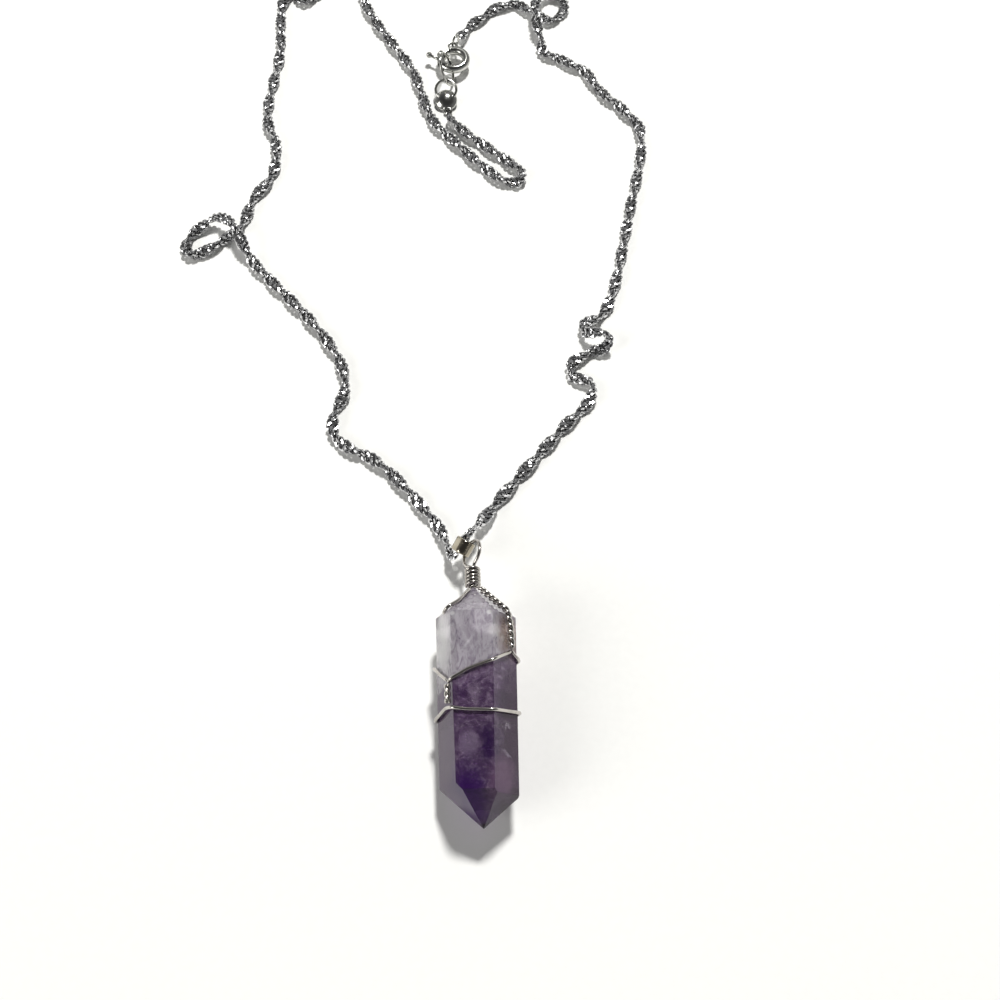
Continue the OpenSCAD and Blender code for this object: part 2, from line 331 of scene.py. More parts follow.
# Painted reflection: the bail's warm brown colours stand in for the brown reflected in its face
bailSilver = silver("bailSilver", {
    "Bright": (0.48, 0.435, 0.35, 1),
    "Dull": (0.17, 0.135, 0.08, 1),
    "Roughness": 0.1,
    "Wear": 0.5,
    "Grain Scale": 1200.0,
    "bump": 0.2,
    "reach": 1.0,
    "paintedGrooveShade": (0.09, 0.07, 0.04, 1),
})
linkSilver = silver("linkSilver", {
    "Bright": (0.8, 0.8, 0.81, 1),
    "Dull": (0.2, 0.2, 0.21, 1),
    "Roughness": 0.1,
    "Wear": 0.55,
    "Grain Scale": 1800.0,
    "bump": 0.3,
    "reach": 0.4,
    "paintedGrooveShade": (0.02, 0.02, 0.02, 1),
})
claspSilver = silver("claspSilver", {
    "Bright": (0.6, 0.6, 0.57, 1),
    "Dull": (0.2, 0.2, 0.18, 1),
    "Roughness": 0.12,
    "Wear": 0.5,
    "Grain Scale": 1000.0,
    "bump": 0.2,
    "reach": 1.0,
    "paintedGrooveShade": (0.04, 0.04, 0.04, 1),
})
print("metals ready")


# The stone, in millimetres and degrees
stone = {
    "at": (11.15, -83.2, 4.92),
    "turns": (3, 0, 0.85),
    "upperPoint": (-0.45, 32.9, 0),
    "flatWithin": 0.5,  # triangles that differ less than this are one cut face
    "bevel": 0.035,
    "bevelSegments": 2,
}
stoneFrame = placed(stone["at"], stone["turns"])


# One plane for each way that the cut faces look, with its distance from the stone's origin
def stoneFaces():
    back = stoneFrame.inverted()
    found = {}
    for polygon in nodes["crystal"].data.polygons:
        outward = (back.to_3x3() @ polygon.normal).normalized()
        key = tuple(round(v, 2) for v in outward)
        found.setdefault(key, (outward, outward.dot(back @ polygon.center) / mm))
    return list(found.values())


def stoneMesh():
    bm = bmesh.new()
    bm.from_mesh(nodes["crystal"].data)
    flat = math.radians(stone["flatWithin"])
    bmesh.ops.remove_doubles(bm, verts=bm.verts, dist=merge)
    bmesh.ops.dissolve_limit(bm, angle_limit=flat, verts=bm.verts, edges=bm.edges)
    bmesh.ops.bevel(
        bm, geom=list(bm.edges), offset=stone["bevel"] * mm, segments=stone["bevelSegments"],
        profile=0.5, affect="EDGES",
    )
    return meshFrom("crystalStone", bm, smooth=False)


spotEdge = (0.35, 1.15)  # where a spot starts to fade and where it ends, in its own sizes


def makeSoftSpot():
    group, come, go = nodeGroup("softSpot", [
        ("Place", "NodeSocketVector", None),
        ("Centre", "NodeSocketVector", (0, 0, 0)),
        ("Size", "NodeSocketVector", (1, 1, 1)),
        ("Strength", "NodeSocketFloat", 1.0),
    ], [("Mask", "NodeSocketFloat")])
    place, centre, size, strength = come.outputs[:4]
    away = vectorNode(group, "SUBTRACT", place, centre).outputs["Vector"]
    scaled = vectorNode(group, "DIVIDE", away, size).outputs["Vector"]
    far = vectorNode(group, "LENGTH", scaled).outputs["Value"]
    mask = remap(group, far, *spotEdge, 1.0, 0.0)
    feed(group, go.inputs["Mask"], mathNode(group, "MULTIPLY", mask, strength))
    return group


softSpot = makeSoftSpot()


def spotMask(tree, place, centre, size, strength):
    spot = put(tree, "ShaderNodeGroup", {"node_tree": softSpot}, Place=place)
    for key, value in (("Centre", centre), ("Size", size), ("Strength", strength)):
        spot.inputs[key].default_value = value
    return spot.outputs["Mask"]


# Colour zones of the stone, in millimetres from its lower point: centre, size, colour, strength.
# Some are painted reflections and painted shade
zones = [
    ((4.4, 11.5, 1), (2.1, 12, 7), (0.085, 0.04, 0.09), 0.9),
    # Painted reflections: grey-lavender low on the left side and near white high on it stand in
    # for the floor seen in those faces
    ((-4.7, 8, 1), (1.6, 9.5, 6), (0.15, 0.1, 0.17), 0.88),
    ((-4.6, 24.5, 1), (1.9, 6.6, 6), (0.98, 0.98, 0.97), 1.0),
    ((-1.3, 24.5, 3), (1.3, 2.6, 5), (0.36, 0.31, 0.38), 0.75),
    ((3.7, 25, 2), (2.2, 3.6, 6), (0.42, 0.31, 0.24), 0.9),
    ((2.0, 25.2, 3), (1.3, 1.5, 5), (0.95, 0.94, 0.92), 0.6),
    ((-2.1, 16.7, 4), (1.5, 1.2, 5), (0.06, 0.025, 0.09), 0.85),
    ((3.2, 16, 3), (1.2, 1.5, 5), (0.055, 0.03, 0.07), 0.7),
    ((-0.4, 16.4, 4), (0.9, 2.2, 4), (0.36, 0.28, 0.39), 0.6),
    ((-1.1, 10.1, 4), (1.6, 2.4, 4), (0.33, 0.25, 0.38), 0.65),
    ((1.3, 10.2, 3), (1.6, 3.6, 6), (0.035, 0.01, 0.08), 0.9),
    ((-1.4, 4.2, 2), (3.0, 5.0, 7), (0.05, 0.01, 0.13), 0.95),
    ((3.0, 5.9, 2), (2.3, 3.4, 6), (0.27, 0.15, 0.27), 0.9),
    ((3.7, 12.5, 3), (0.3, 0.8, 3), (0.7, 0.62, 0.74), 0.5),
    ((4.0, 8.9, 3), (0.8, 0.35, 3), (0.62, 0.52, 0.68), 0.5),
    # Painted shade: dark marks along the edge low on the right
    ((4.7, 4.2, 0), (0.9, 1.1, 4), (0.06, 0.035, 0.06), 0.85),
    ((3.1, 2.6, 0), (1.0, 1.0, 4), (0.06, 0.03, 0.06), 0.85),
    ((-0.4, 2.6, 1), (2.2, 3.0, 5), (0.09, 0.03, 0.17), 0.85),
    ((-3.3, 3.2, 0), (1.6, 2.8, 5), (0.13, 0.07, 0.18), 0.85),
    ((0.7, 0.2, 0), (1.4, 1.1, 2), (0.04, 0.03, 0.035), 0.9),
]
quartz = {
    "index": 1.5,
    "clear": 0.62,  # how much light goes through instead of being scattered
    "shine": 0.08,
    "swirl": {"Scale": 0.55, "Detail": 4.0, "Roughness": 0.6},
    "sway": (2.6, 2.6, 2.6),  # how far the swirl moves zones and clouds, in millimetres
    "seam": (19.9, 20.9),  # millimetres up, where the purple ends and the pale part begins
    "seamTilt": -0.5,
    "below": (0.115, 0.065, 0.145, 1),
    "belowLight": (0.3, 0.22, 0.335, 1),
    "cloud": {"scale": 1.3, "detail": 6.0, "roughness": 0.68},
    "cloudEdge": (0.46, 0.66),
    "above": (0.62, 0.585, 0.64, 1),
    "aboveGrey": (0.31, 0.27, 0.34, 1),
    "strand": {"scale": 1.1, "detail": 6.0, "roughness": 0.7, "distortion": 0.9},
    "strandStretch": (1.2, 0.5, 1.2),
    "strandEdge": (0.4, 0.68),
    "streaks": ((0.85, 0.52, -11.03), (0.8, -0.6, 15.22)),  # lines a * x + b * y + c = 0
    "streakSpot": ((-1.4, 23.5, 3), (1.8, 2.6, 6), 0.5),
    "streakEdge": (0.04, 0.3),
    "streakCloud": (0.38, 0.62, 0.25, 1.0),
    "streakTint": (0.98, 0.97, 1, 1),
    "glints": ((-3.6, 27.5, 6.2), (1.4, 27.5, 6.2)),
    "glintSize": (0.45, 0.4, 2),
    "glintStrength": 0.9,
    "glintTint": (1, 1, 1, 1),
    "mist": {"scale": 3.5, "detail": 4.0, "roughness": 0.7},
    "mistEdge": (0.6, 0.78, 0.0, 0.35),
    "mistTint": (0.75, 0.7, 0.8, 1),
    "smearScale": 0.5,
    "smearEdge": (0.45, 0.7, 0.02, 0.1),
}


# Pale streaks that cross inside the top of the stone, broken up by its clouds
def addStreaks(tree, home, cloud, colour):
    level = put(tree, "ShaderNodeSeparateXYZ", Vector=home)
    around = spotMask(tree, home, *quartz["streakSpot"])
    for a, b, c in quartz["streaks"]:
        across = mathNode(tree, "MULTIPLY", level.outputs["X"], a)
        along = mathNode(tree, "MULTIPLY", level.outputs["Y"], b)
        line = mathNode(tree, "ADD", mathNode(tree, "ADD", across, along), c)
        line = mathNode(tree, "ABSOLUTE", line)
        streak = remap(tree, line, *quartz["streakEdge"], 1.0, 0.0)
        streak = mathNode(tree, "MULTIPLY", streak, around)
        broken = remap(tree, cloud, *quartz["streakCloud"])
        streak = mathNode(tree, "MULTIPLY", streak, broken)
        colour = mixColour(tree, streak, colour, quartz["streakTint"])
    return colour


def quartzMaterial():
    material, tree, shader = newMaterial("bicolourQuartz")
    shader.inputs["IOR"].default_value = quartz["index"]
    shader.inputs["Transmission Weight"].default_value = quartz["clear"]
    shader.inputs["Specular IOR Level"].default_value = quartz["shine"]
    inMm = vectorNode(tree, "SCALE", objectPlace(tree))
    inMm.inputs["Scale"].default_value = 1 / mm
    home = vectorNode(tree, "SUBTRACT", inMm.outputs["Vector"], stone["at"]).outputs["Vector"]
    swirl = put(tree, "ShaderNodeTexNoise", quartz["swirl"], Vector=home).outputs["Color"]
    sway = vectorNode(tree, "SUBTRACT", swirl, (0.5, 0.5, 0.5)).outputs["Vector"]
    bent = vectorNode(tree, "MULTIPLY_ADD", sway, quartz["sway"], home).outputs["Vector"]

    split = put(tree, "ShaderNodeSeparateXYZ", Vector=bent)
    tilt = mathNode(tree, "MULTIPLY", split.outputs["X"], quartz["seamTilt"])
    along = mathNode(tree, "ADD", split.outputs["Y"], tilt)
    cloud = noiseField(tree, bent, **quartz["cloud"])
    cloudy = remap(tree, cloud, *quartz["cloudEdge"])
    drawn = vectorNode(tree, "MULTIPLY", home, quartz["strandStretch"]).outputs["Vector"]
    strand = noiseField(tree, drawn, **quartz["strand"])
    stranded = remap(tree, strand, *quartz["strandEdge"])
    lower = mixColour(tree, cloudy, quartz["below"], quartz["belowLight"])
    upper = mixColour(tree, stranded, quartz["above"], quartz["aboveGrey"])
    colour = mixColour(tree, remap(tree, along, *quartz["seam"]), lower, upper)

    for centre, size, tint, strength in zones:
        mask = spotMask(tree, bent, centre, size, strength)
        colour = mixColour(tree, mask, colour, (*tint, 1))
    colour = addStreaks(tree, home, cloud, colour)
    # Painted highlights: small white spots at the top corners of the stone
    for centre in quartz["glints"]:
        mask = spotMask(tree, home, centre, quartz["glintSize"], quartz["glintStrength"])
        colour = mixColour(tree, mask, colour, quartz["glintTint"])
    mist = remap(tree, noiseField(tree, home, **quartz["mist"]), *quartz["mistEdge"])
    colour = mixColour(tree, mist, colour, quartz["mistTint"])
    smears = remap(tree, noiseField(tree, home, quartz["smearScale"]), *quartz["smearEdge"])
    feed(tree, shader.inputs["Base Color"], colour)
    feed(tree, shader.inputs["Roughness"], smears)
    return material


# Healed cracks inside the stone: thin curved sheets, seen through its faces
veils = {
    "sheets": [  # centre, half width and half length, turns
        ((-1.6, 26.2, 1.2), (2.2, 3.2), (20, 25, 15)),
        ((0.8, 24.6, 2.2), (2.4, 2.6), (-25, 10, -35)),
        ((1.6, 27.8, 0.4), (1.9, 1.8), (15, -30, 20)),
        ((-0.6, 18.4, 2.2), (2.6, 2.2), (30, 15, 10)),
        ((-0.9, 12.4, 2.0), (1.9, 2.8), (-20, 25, -15)),
        ((2.4, 9.0, 1.4), (1.7, 2.6), (15, -35, 12)),
    ],
    "cells": 18,
    "warp": 0.7,
    "warpScale": 0.5,
    "tint": (0.9, 0.88, 0.94, 1),
    "roughness": 0.6,
    "wisps": {"scale": 1100.0, "detail": 6.0, "roughness": 0.7, "distortion": 1.2},
    "wispEdge": (0.46, 0.72),
    "border": (0.0, 0.6),
    "strength": 0.55,
}


def veilMesh():
    bm = bmesh.new()
    fade = bm.verts.layers.float.new("fade")
    n = veils["cells"]
    for centre, half, turns in veils["sheets"]:
        local = Matrix.Translation(Vector(centre)) @ turned(turns)
        grid = []
        for j in range(n + 1):
            for i in range(n + 1):
                u, v = 2 * i / n - 1, 2 * j / n - 1
                flat = Vector((u * half[0], v * half[1], 0))
                spot = (flat + Vector(centre)) * veils["warpScale"]
                flat.z = veils["warp"] * noise.noise(spot)
                vert = bm.verts.new(stoneFrame @ ((local @ flat) * mm))
                vert[fade] = max(0.0, 1 - (u * u + v * v) ** 0.5)
                grid.append(vert)
        for j in range(n):
            for i in range(n):
                k = j * (n + 1) + i
                bm.faces.new((grid[k], grid[k + 1], grid[k + n + 2], grid[k + n + 1]))
    mesh = bpy.data.meshes.new("stoneVeils")
    bm.to_mesh(mesh)
    bm.free()
    return mesh


def veilMaterial():
    material, tree, shader = newMaterial("quartzVeil")
    shader.inputs["Base Color"].default_value = veils["tint"]
    shader.inputs["Roughness"].default_value = veils["roughness"]
    wisps = noiseField(tree, objectPlace(tree), **veils["wisps"])
    wisps = remap(tree, wisps, *veils["wispEdge"])
    fade = put(tree, "ShaderNodeAttribute", {"attribute_name": "fade"}).outputs["Fac"]
    border = remap(tree, fade, *veils["border"])
    alpha = mathNode(tree, "MULTIPLY", wisps, border)
    feed(tree, shader.inputs["Alpha"], mathNode(tree, "MULTIPLY", alpha, veils["strength"]))
    return material


def buildStone():
    addPiece("crystalStone", stoneMesh(), quartzMaterial(), ["crystal"])
    addPiece("stoneVeils", veilMesh(), veilMaterial())


buildStone()
print("stone ready")

# The wire wrap
wrap = {
    "wire": 0.5,
    "lift": 0.1,
    "sides": 12,
    "step": 0.22,
    "cornerTurn": 12,  # a further point for each so many degrees round the stone
    "facing": 0.05,  # faces that look away more than this don't hold the wire
    "bandPasses": 5,
    "twistStep": 0.16,
    "twistPasses": 4,
    "halfTwist": 0.95,
    "press": 0.9,  # below 1 the two wires of a twist lie pressed together
}
skinFaces = stoneFaces()


# A point on the stone's cut faces: degrees round it, millimetres along it and off its skin
def onSkin(around, along, lift):
    ray = spoke(around)
    reach = min(
        (far + lift - outward.y * along) / outward.dot(ray)
        for outward, far in skinFaces if outward.dot(ray) > wrap["facing"]
    )
    return Vector((0, along, 0)) + ray * reach


def laid(rows, lift, step):
    out = []
    for (a0, l0), (a1, l1) in zip(rows, rows[1:]):
        length = (onSkin(a1, l1, lift) - onSkin(a0, l0, lift)).length
        count = max(3, round(length / step) + int(abs(a1 - a0) / wrap["cornerTurn"]))
        for k in range(count):
            out.append(onSkin(a0 + (a1 - a0) * k / count, l0 + (l1 - l0) * k / count, lift))
    out.append(onSkin(*rows[-1], lift))
    return out


def outwardAt(points):
    return lambda i: Vector((points[i].x, 0, points[i].z)).normalized()


def wirePiece(name, frameOf, paths, node, closed=False, up=None):
    bm = bmesh.new()
    for path in paths:
        sweepWire(bm, path, wrap["wire"] / 2, wrap["sides"], up or outwardAt(path), closed)
    bmesh.ops.scale(bm, vec=(mm, mm, mm), verts=bm.verts)
    bmesh.ops.transform(bm, matrix=frameOf, verts=bm.verts)
    addPiece(name, meshFrom(name, bm), wrapSilver, [node])


def bandPath(rows, closed=False):
    path = laid(rows, wrap["wire"] / 2 + wrap["lift"], wrap["step"])
    if closed:
        path = path[:-1]
    return softened(path, wrap["bandPasses"], closed)


def twistPaths(rows):
    line = laid(rows, wrap["wire"] + wrap["lift"], wrap["step"])
    centre = softened(evenly(line, wrap["twistStep"]), wrap["twistPasses"])
    stations = framesAlong(centre, outwardAt(centre))
    reach = wrap["wire"] / 2 * wrap["press"]
    strands = [[], []]
    gone = 0.0
    for i, (p, ahead, side, top) in enumerate(stations):
        if i:
            gone += (p - stations[i - 1][0]).length
        turn = math.pi * gone / wrap["halfTwist"]
        away = (side * math.cos(turn) + top * math.sin(turn)) * reach
        strands[0].append(p + away)
        strands[1].append(p - away)
    return strands


# Each wire's node, and its way: degrees round the stone, millimetres up from its lower point
bandRows = {
    "leftStrand": ("left_strand", [
        (130, 32.2), (127, 31.3), (126, 30.1), (132, 28.9), (142, 28.2),
    ]),
    "upperBandFront": ("upper_band_front", [
        (29, 22.8), (54, 21.8), (66, 21.2), (104, 20), (126, 18.8), (131, 18.5),
    ]),
    "upperBandLeft": ("upper_band_left", [(184, 21.3), (164, 20.1), (139, 18.9)]),
    "upperBandBack": ("upper_band_back", [
        (23, 22.9), (6, 22), (-54, 21.6), (-114, 21.2), (-171, 21.3),
    ]),
}
lowerBandRows = [
    (66, 14.5), (107, 14.7), (124.5, 15), (144, 15.2), (187.5, 14.3), (246.5, 13.8),
    (306, 14.5), (366, 14.9), (426, 14.5),
]
twistRows = {
    "rightTwist": ("right_twist", [
        (60, 32.3), (48, 31.1), (42, 29.8), (36, 28.2), (30, 26.5), (27, 23.5),
    ]),
    "sideTwist": ("side_twist", [(131, 17.95), (131, 15.8)]),
    "backTwist": ("back_twist", [(-32, 20.9), (-32, 15.8)]),
}


def buildWrap():
    for name, (node, rows) in bandRows.items():
        wirePiece(name, stoneFrame, [bandPath(rows)], node)
    lower = bandPath(lowerBandRows, closed=True)
    wirePiece("lowerBand", stoneFrame, [lower], "lower_band", closed=True)
    for name, (node, rows) in twistRows.items():
        wirePiece(name, stoneFrame, twistPaths(rows), node)


buildWrap()

# The wire wound round the neck, and the eye that stands out of it
neck = {
    "turns": (-13.4, 0, 2.5),
    "coilStart": 0.1,
    "coilPitch": 0.6,
    "coilRadius": 0.9,
    "coilTurns": 5,
    "coilSteps": 36,
    "wobble": 0.03,  # turns wound by hand aren't quite even
    "wobbleRate": 0.7,
    "wobbleStart": 1,
    "eyeReach": 5.72,
    "eyeRadius": 2,
    "eyeRoll": -54,
    "eyeSteps": 60,
    "eyeStep": 0.2,
    "eyePasses": 3,
    "mouthMore": 9,  # degrees by which the eye's round part stops short of each leg
    "legSpread": 0.3,
    "legStart": 0.2,
    "legPoints": 17,
}
neckFrame = placed((0, 0, 0), neck["turns"])
neckFrame.translation = stoneFrame @ (Vector(stone["upperPoint"]) * mm)


def coilPath():
    steps = neck["coilSteps"]
    path = []
    for i in range(neck["coilTurns"] * steps + 1):
        turn = 2 * math.pi * i / steps
        wobble = neck["wobble"] * math.sin(turn * neck["wobbleRate"] + neck["wobbleStart"])
        path.append(Vector((
            -neck["coilRadius"] * math.cos(turn),
            neck["coilStart"] + neck["coilPitch"] * i / steps + wobble,
            neck["coilRadius"] * math.sin(turn),
        )))
    return path


def eyePath():
    spread, reach, radius = neck["legSpread"], neck["eyeReach"], neck["eyeRadius"]
    mouth = math.degrees(math.asin(spread / radius)) + neck["mouthMore"]
    leg = [neck["legStart"] + neck["eyeStep"] * i for i in range(neck["legPoints"])]
    path = [Vector((-spread, y, 0)) for y in leg]
    for i in range(neck["eyeSteps"] + 1):
        a = math.radians(270 - mouth - (360 - 2 * mouth) * i / neck["eyeSteps"])
        path.append(Vector((radius * math.cos(a), reach + radius * math.sin(a), 0)))
    path += [Vector((spread, y, 0)) for y in reversed(leg)]
    return softened(evenly(path, neck["eyeStep"]), neck["eyePasses"])


def buildNeck():
    alongNeck = Vector((0, 1, 0.001))  # a hair off the axis, so that no step lies along it
    wirePiece("neckWrap", neckFrame, [coilPath()], "neck_coil", up=alongNeck)
    rolled = neckFrame @ turned((0, neck["eyeRoll"], 0))
    wirePiece("eyeWire", rolled, [eyePath()], "wire_eye", up=Vector((0, 0, 1)))


buildNeck()
print("wire wrap ready")

# The bail: a plain band, bent round and closed with a fine seam
bail = {
    "at": (8.65, -43.15, 4),
    "turns": (21, 0, -32),
    "roll": 46,
    "width": 2.1,
    "height": 2.9,
    "length": 2.1,
    "wall": 0.2,
    "steps": 96,
    "shoulder": 4,  # how soon the straight sides run into the round ends
    "seam": 2.0,  # degrees left open
    "seamAt": -90,
    "rim": 0.07,
    "section": [  # out in half walls, along in half lengths, and on from there in rims
        (0.7, -1, 1), (1.1, -1, 2.4), (0.82, -0.45, 0), (0.78, 0, 0), (0.82, 0.45, 0),
        (1.1, 1, -2.4), (0.7, 1, -1), (0, 1, 0), (-0.7, 1, -1), (-1, 1, -2),
        (-1, -1, 2), (-0.7, -1, 1), (0, -1, 0),
    ],
}
bailFrame = placed(bail["at"], bail["turns"]) @ turned((0, bail["roll"], 0)) @ turned((90, 0, 0))


def bailOutline(degrees):
    a = math.radians(degrees)
    straight = (bail["height"] - bail["width"]) / 2
    radius = bail["width"] / 2 + bail["wall"] / 2
    outward = Vector((math.cos(a), math.sin(a), 0))
    rise = math.copysign(straight, outward.y) * min(1, abs(outward.y) * bail["shoulder"])
    return Vector((radius * outward.x, radius * outward.y + rise, 0)), outward


def buildBail():
    half, wall, rim = bail["length"] / 2, bail["wall"] / 2, bail["rim"]
    section = [(wall * out, half * along + rim * on) for out, along, on in bail["section"]]
    bm = bmesh.new()
    rings = []
    for i in range(bail["steps"] + 1):
        gone = (360 - bail["seam"]) * i / bail["steps"]
        p, outward = bailOutline(bail["seamAt"] + bail["seam"] / 2 + gone)
        rings.append([bm.verts.new(p + outward * w + Vector((0, 0, h))) for w, h in section])
    joinRings(bm, zip(rings, rings[1:]))
    bm.faces.new(rings[0])
    bm.faces.new(rings[-1][::-1])
    bmesh.ops.scale(bm, vec=(mm, mm, mm), verts=bm.verts)
    bmesh.ops.transform(bm, matrix=bailFrame, verts=bm.verts)
    addPiece("bailBand", meshFrom("bailBand", bm), bailSilver, ["bail"])


buildBail()
print("bail ready")

# The chain: twisted oval links, in millimetres, along the route that the source gives, in metres.
# Links are narrower in the bail, and lie lower and flatter away from it
chain = {
    "length": 0.6,  # from a link's middle to the middle of its wire, as is the width
    "width": 0.65,
    "rise": 0.18,
    "wire": 0.56,
    "pitch": 0.8,
    "sides": 6,
    "segments": 14,
    "flat": 0.3,  # cut flats on both faces of a link
    "halfTwist": 5.2,
    "drift": 0.12,  # radians, the most that a link turns out of line with the one before
    "seed": 4,
    "step": 0.1,
    "look": 6,  # steps back and ahead that give a link its direction
    "spread": 0.15,
    "drop": 0.12,
    "lowest": 0.83,
    "widest": 38.86,
    "highest": 82.05,
    "narrowReach": 3.6,
    "narrow": 0.68,
    "narrowWire": 0.85,
    "endFrom": (5.2, 40.6, 1.25),
    "endTo": (4.68, 42.6, 0.42),
    "endWidth": 0.4,
    "endWire": 0.26,
}
chainRoute = [
    (0.0065, 0.06, 0.0015), (0.0085, 0.0635, 0.001), (0.011, 0.066, 0.00095),
    (0.014, 0.0685, 0.00095), (0.017, 0.069, 0.00095), (0.02, 0.067, 0.00095),
    (0.023, 0.065, 0.00095), (0.0255, 0.0665, 0.00095), (0.026, 0.0695, 0.00095),
    (0.0235, 0.0715, 0.0012), (0.0215, 0.0695, 0.0022), (0.0205, 0.066, 0.003),
    (0.0207, 0.063, 0.0025), (0.0215, 0.06, 0.0013), (0.022, 0.057, 0.00095),
    (0.026, 0.0545, 0.00095), (0.0295, 0.052, 0.00095), (0.032, 0.0475, 0.00095),
    (0.036, 0.043, 0.00095), (0.039, 0.038, 0.00095), (0.0385, 0.0315, 0.00095),
    (0.0365, 0.022, 0.00095), (0.0325, 0.0035, 0.00095), (0.0305, -0.001, 0.00095),
    (0.028, -0.0025, 0.00095), (0.0275, -0.0045, 0.0016), (0.029, -0.0055, 0.0027),
    (0.0305, -0.0055, 0.0028), (0.0315, -0.0065, 0.002), (0.0305, -0.0075, 0.0011),
    (0.0285, -0.008, 0.00095), (0.0253, -0.0105, 0.00095), (0.0255, -0.0125, 0.00095),
    (0.0285, -0.0138, 0.00095), (0.028, -0.017, 0.00095), (0.0245, -0.021, 0.00095),
    (0.014, -0.034, 0.00095), (0.012, -0.037, 0.0016), (0.0106, -0.0393, 0.0028),
    (0.0096, -0.0409, 0.0037), (0.0089, -0.042, 0.004), (0.0084, -0.04285, 0.00365),
    (0.00785, -0.0437, 0.00325), (0.0074, -0.0442, 0.00285), (0.0069, -0.0441, 0.0024),
    (0.0067, -0.0434, 0.0021), (0.0062, -0.0417, 0.0015), (0.0051, -0.0392, 0.00095),
    (0.0032, -0.0365, 0.00095), (-0.0045, -0.028, 0.00095), (-0.009, -0.0255, 0.00095),
    (-0.0115, -0.0235, 0.00095), (-0.012, -0.02, 0.00095), (-0.0105, -0.015, 0.00095),
    (-0.0115, -0.01, 0.00095), (-0.016, -0.003, 0.00095), (-0.0275, 0.01, 0.0011),
    (-0.0295, 0.0135, 0.0026), (-0.0315, 0.0165, 0.003), (-0.034, 0.018, 0.002),
    (-0.037, 0.0165, 0.00095), (-0.03885, 0.013, 0.00095), (-0.0375, 0.011, 0.00095),
    (-0.034, 0.013, 0.00095), (-0.03, 0.017, 0.00095), (-0.0285, 0.0225, 0.00095),
    (-0.0255, 0.0285, 0.00095), (-0.0255, 0.035, 0.00095), (-0.0275, 0.041, 0.00095),
    (-0.0265, 0.057, 0.00095), (-0.027, 0.0645, 0.00095), (-0.027, 0.0695, 0.00095),
    (-0.0255, 0.0718, 0.00095), (-0.023, 0.07, 0.00095), (-0.0205, 0.072, 0.00095),
    (-0.022, 0.076, 0.00095), (-0.0205, 0.0805, 0.00095), (-0.0165, 0.08215, 0.00095),
    (-0.0125, 0.0805, 0.00095), (-0.0105, 0.076, 0.00095), (-0.012, 0.0715, 0.00095),
    (-0.01, 0.066, 0.00095), (-0.005, 0.0575, 0.00095), (-0.002, 0.0525, 0.00095),
    (0.002, 0.0405, 0.00095), (0.006, 0.0355, 0.00095), (0.0145, 0.027, 0.00095),
    (0.017, 0.0265, 0.00095), (0.0178, 0.0287, 0.00095), (0.0155, 0.031, 0.00095),
    (0.0075, 0.038, 0.00095), (0.005, 0.0409, 0.0013),
]


def linkLoop(length, width, rise):
    turns = [2 * math.pi * i / chain["segments"] for i in range(chain["segments"])]
    return [
        Vector((length * math.cos(t), width * math.sin(t), rise * math.sin(2 * t)))
        for t in turns
    ]


def addLink(bm, loop, wire, place):
    sides = chain["sides"]
    rings = []
    for i, p in enumerate(loop):
        ahead = (loop[(i + 1) % len(loop)] - loop[i - 1]).normalized()
        side = ahead.cross(Vector((0, 0, 1))).normalized()
        top = side.cross(ahead)
        ring = []
        for k in range(sides):
            a = 2 * math.pi * k / sides
            q = p + (side * math.cos(a) + top * math.sin(a)) * wire / 2
            q.z = max(-chain["flat"], min(chain["flat"], q.z))
            ring.append(bm.verts.new(place @ (q * mm)))
        rings.append(ring)
    joinRings(bm, zip(rings, rings[1:] + rings[:1]))


# The thin oval link that joins the chain to the loop of the end tag
def addEndLink(bm):
    start, end = Vector(chain["endFrom"]), Vector(chain["endTo"])
    ahead = (end - start).normalized()
    side = ahead.cross(Vector((0, 0, 1))).normalized()
    place = Matrix((ahead, side.cross(ahead), side)).transposed().to_4x4()
    place.translation = (start + end) / 2 * mm
    loop = linkLoop((end - start).length / 2, chain["endWidth"], 0)
    addLink(bm, loop, chain["endWire"], place)


def buildChain():
    path = curveThrough(chainRoute, chain["step"] * mm)
    last = len(path) - 1
    step = sum((b - a).length for a, b in zip(path, path[1:])) / last
    count = int(len(path) * step / (chain["pitch"] * mm))
    dice = random.Random(chain["seed"])
    bm = bmesh.new()
    drift = 0.0
    for i in range(count):
        at = (i + 0.5) * len(path) / count
        j = min(int(at), last - 1)
        p = path[j].lerp(path[j + 1], at - j)
        away = (p / mm - Vector(bail["at"])).length - chain["narrowReach"]
        near = away < 0
        free = max(0.0, min(1.0, away / chain["narrowReach"]))
        p.z = max(p.z - chain["drop"] * free * mm, chain["lowest"] * mm)
        p.x = max(-chain["widest"] * mm, min(chain["widest"] * mm, p.x))
        p.y = min(p.y, chain["highest"] * mm)

        before, after = max(j - chain["look"], 0), min(j + chain["look"], last)
        ahead = (path[after] - path[before]).normalized()
        side = ahead.cross(Vector((0, 0, 1))).normalized()
        top = side.cross(ahead)
        drift += dice.uniform(-chain["drift"], chain["drift"])
        turn = math.pi * i * chain["pitch"] / chain["halfTwist"] + drift
        wide = side * math.cos(turn) + top * math.sin(turn)
        twisted = Matrix((ahead, wide, ahead.cross(wide))).transposed()
        lying = Matrix((ahead, side, top)).transposed()
        spread = chain["spread"] * free
        flatter = Matrix.Diagonal((1, 1 + spread, 1 - spread))
        place = (lying @ flatter @ lying.transposed() @ twisted).to_4x4()
        place.translation = p

        scale = chain["narrow"] if near else 1
        wire = chain["wire"] * (chain["narrowWire"] if near else 1)
        loop = linkLoop(chain["length"], chain["width"] * scale, chain["rise"] * scale)
        addLink(bm, loop, wire, place)
    addEndLink(bm)
    print("links", count)
    mesh = meshFrom("chainLinks", bm, smooth=False)
    addPiece("chainLinks", mesh, linkSilver, ["chain"])


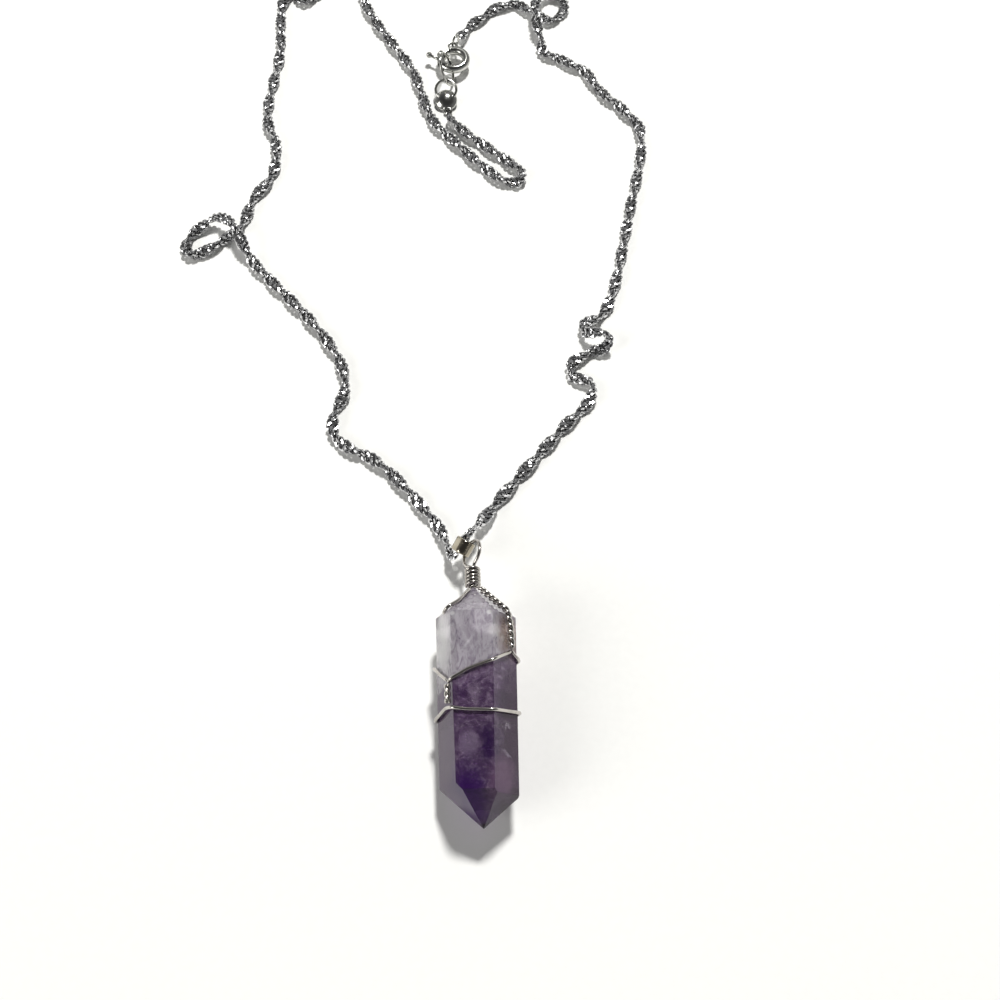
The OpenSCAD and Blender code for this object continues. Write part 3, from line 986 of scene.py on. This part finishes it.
buildChain()


# The clasp and the small rings: the solids themselves, shaded smooth between their sharp edges
sharpFrom = 35  # degrees


def polishedCopy(name, node, material, body="root"):
    bm = bmesh.new()
    bm.from_mesh(nodes[node].data)
    bmesh.ops.remove_doubles(bm, verts=bm.verts, dist=merge)
    mesh = meshFrom(name, bm)
    mesh.set_sharp_from_angle(angle=math.radians(sharpFrom))
    addPiece(name, mesh, material, [node], body)


def buildClasp():
    polishedCopy("claspRing", "clasp_body", claspSilver)
    polishedCopy("claspTongue", "clasp_lever", claspSilver, "clasp_lever")
    polishedCopy("claspJumpRing", "clasp_link", claspSilver)
    polishedCopy("connectorRing", "connector_ring", claspSilver)
    polishedCopy("endRingTag", "end_ring", claspSilver)


buildClasp()
print("clasp ready")

# Floor, light and camera
floorLook = {
    "size": 1.5,
    "roughness": 0.85,
    "fibre": {"scale": 900.0, "detail": 3.0},
    "fibreEdge": (0.3, 0.7),
    "tones": ((0.93, 0.93, 0.915, 1), (0.945, 0.945, 0.93, 1)),
}
lightTint = (1.0, 0.995, 0.97)  # lights in metres and watts, each on its way out from the origin
lights = {
    "windowLight": {
        "shape": "DISK", "size": 0.2, "power": 23.6, "way": (0.7, 2.9, 4.5), "far": 1.5,
    },
    "fillLight": {
        "shape": "SQUARE", "size": 0.8, "power": 8.6, "way": (-2.2, -0.9, 1.4), "far": 1.6,
    },
}
sky = ((0.0, 0.34), (0.5, 0.2), (0.78, 0.06), (1.0, 0.04))  # height and grey, from below to above
view = {
    "at": (0.014, -0.1075, 0.158),
    "tilt": 25,
    "lens": 41.4,
    "sensor": 36,
    "nearest": 0.005,
}


def buildFloor():
    bm = bmesh.new()
    bmesh.ops.create_grid(bm, x_segments=2, y_segments=2, size=floorLook["size"])
    mesh = meshFrom("floor", bm)
    floor = newObject("floor", mesh)
    material, tree, shader = newMaterial("palePaper")
    shader.inputs["Roughness"].default_value = floorLook["roughness"]
    fibre = noiseField(tree, objectPlace(tree), **floorLook["fibre"])
    tone = mixColour(tree, remap(tree, fibre, *floorLook["fibreEdge"]), *floorLook["tones"])
    feed(tree, shader.inputs["Base Color"], tone)
    mesh.materials.append(material)


def areaLight(name, shape, size, power, way, far):
    light = bpy.data.lights.new(name, "AREA")
    light.shape = shape
    light.size = size
    light.energy = power
    light.color = lightTint
    lamp = newObject(name, light)
    way = Vector(way).normalized()
    lamp.location = way * far
    lamp.rotation_euler = way.to_track_quat("Z", "Y").to_euler()


def buildLight():
    for name, look in lights.items():
        areaLight(name, **look)
    world = bpy.data.worlds.new("darkRoom")
    bpy.context.scene.world = world
    world.use_nodes = True
    tree = world.node_tree
    way = put(tree, "ShaderNodeTexCoord").outputs["Generated"]
    height = put(tree, "ShaderNodeSeparateXYZ", Vector=way).outputs["Z"]
    ramp = put(tree, "ShaderNodeValToRGB")
    feed(tree, ramp.inputs[0], height)
    stops = ramp.color_ramp.elements
    for i, (at, grey) in enumerate(sky):
        stop = stops[i] if i < 2 else stops.new(at)  # a new ramp has two stops
        stop.position = at
        stop.color = (grey, grey, grey, 1)
    feed(tree, tree.nodes["Background"].inputs["Color"], ramp.outputs[0])


def buildCamera():
    data = bpy.data.cameras.new("camera")
    data.lens = view["lens"]
    data.sensor_width = view["sensor"]
    data.clip_start = view["nearest"]
    camera = newObject("camera", data)
    camera.location = view["at"]
    camera.rotation_euler = (math.radians(view["tilt"]), 0, 0)
    bpy.context.scene.camera = camera


buildFloor()
buildLight()
buildCamera()
bpy.context.scene.view_settings.view_transform = "Standard"
print("studio ready")
